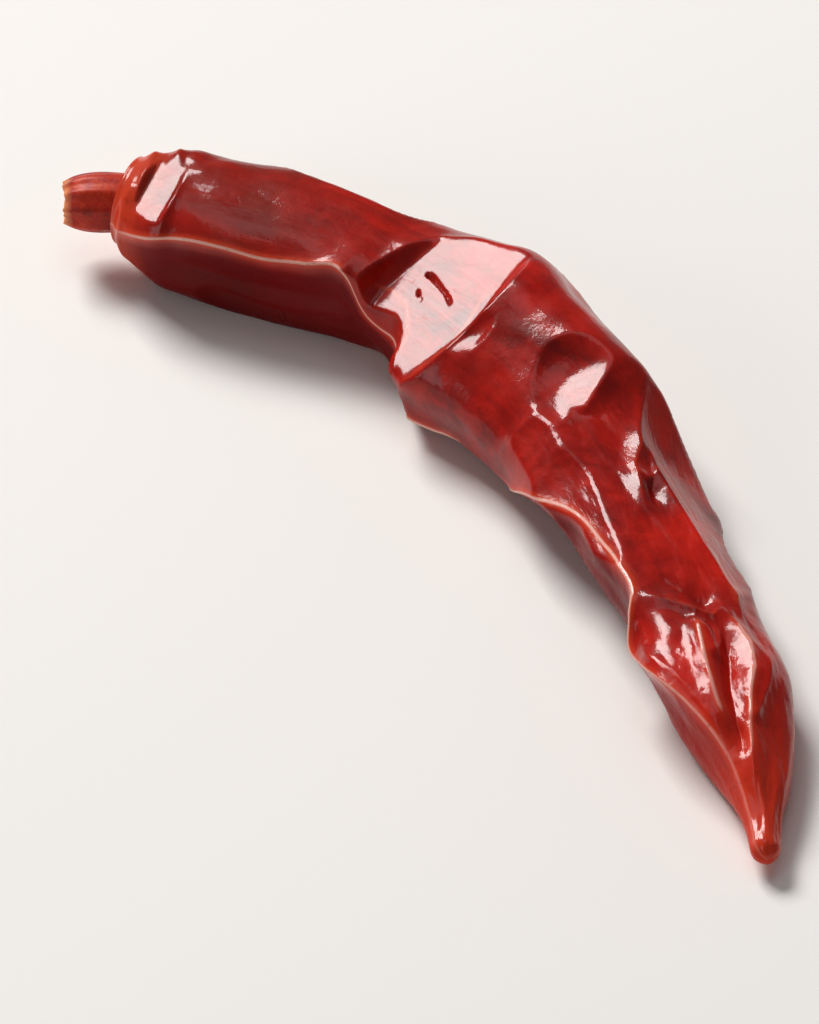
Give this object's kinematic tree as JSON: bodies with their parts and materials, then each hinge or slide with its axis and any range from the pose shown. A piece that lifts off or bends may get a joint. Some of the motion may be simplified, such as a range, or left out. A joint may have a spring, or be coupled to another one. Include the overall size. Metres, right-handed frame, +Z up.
{
  "type": "dried chilli pepper",
  "caption": "Dried red chilli pod, curved, flattened and wrinkled, lying on its side, with a torn stem base in its collar.",
  "frame": {"origin": "middle of the pod's bounding box, on the surface that it lies on", "axes": "+X from the stem end to the tip along the length, +Y towards the outside of the bend, +Z up"},
  "size_m": [0.0672, 0.0188, 0.0085],
  "materials": {
    "pod_skin": "glossy dried skin",
    "stem_fibre": "dry and fibrous"
  },
  "bodies": {
    "root": {"pod": "pod_skin", "stem_base": "stem_fibre"}
  },
  "joints": []
}
